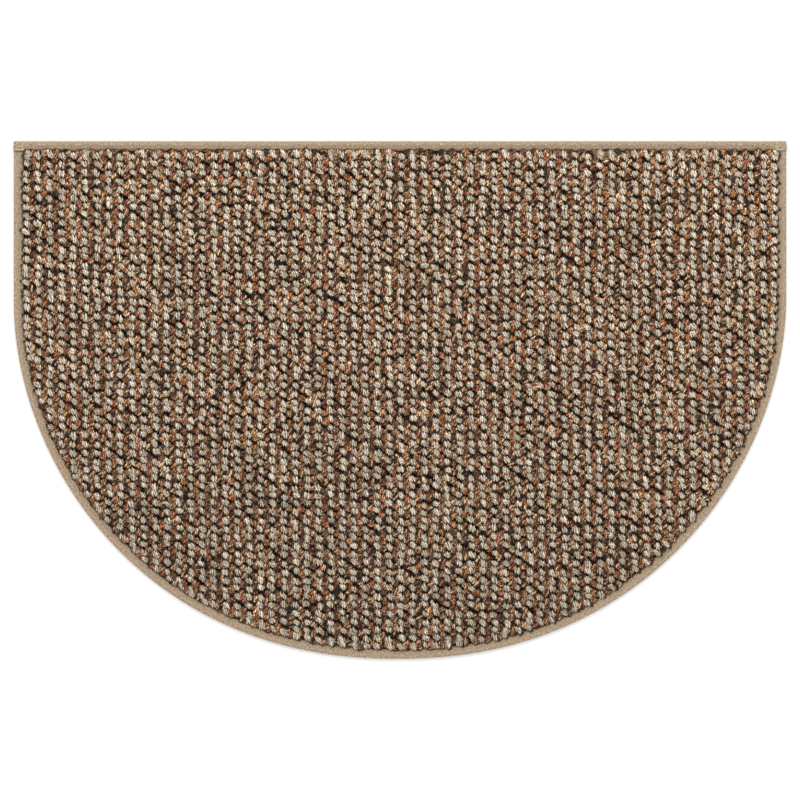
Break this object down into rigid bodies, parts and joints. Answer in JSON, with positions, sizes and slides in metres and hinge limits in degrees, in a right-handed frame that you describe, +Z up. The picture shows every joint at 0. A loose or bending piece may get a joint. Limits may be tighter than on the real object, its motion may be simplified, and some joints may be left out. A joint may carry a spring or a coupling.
{
  "type": "half round doormat",
  "caption": "Half round loop pile doormat with a straight back edge, short straight sides and a woven tape binding all round.",
  "frame": {"origin": "middle of the outline's box, on the surface that the mat lies on", "axes": "+X along the straight edge, +Y towards the straight edge, +Z up through the pile"},
  "size_m": [0.9, 0.603, 0.011],
  "materials": {
    "pile": "matt loop pile in greige, brown and charcoal yarns",
    "tape": "matt tan woven tape"
  },
  "bodies": {
    "root": {"carpet": "pile", "binding_curve": "tape", "binding_straight": "tape"}
  },
  "joints": []
}
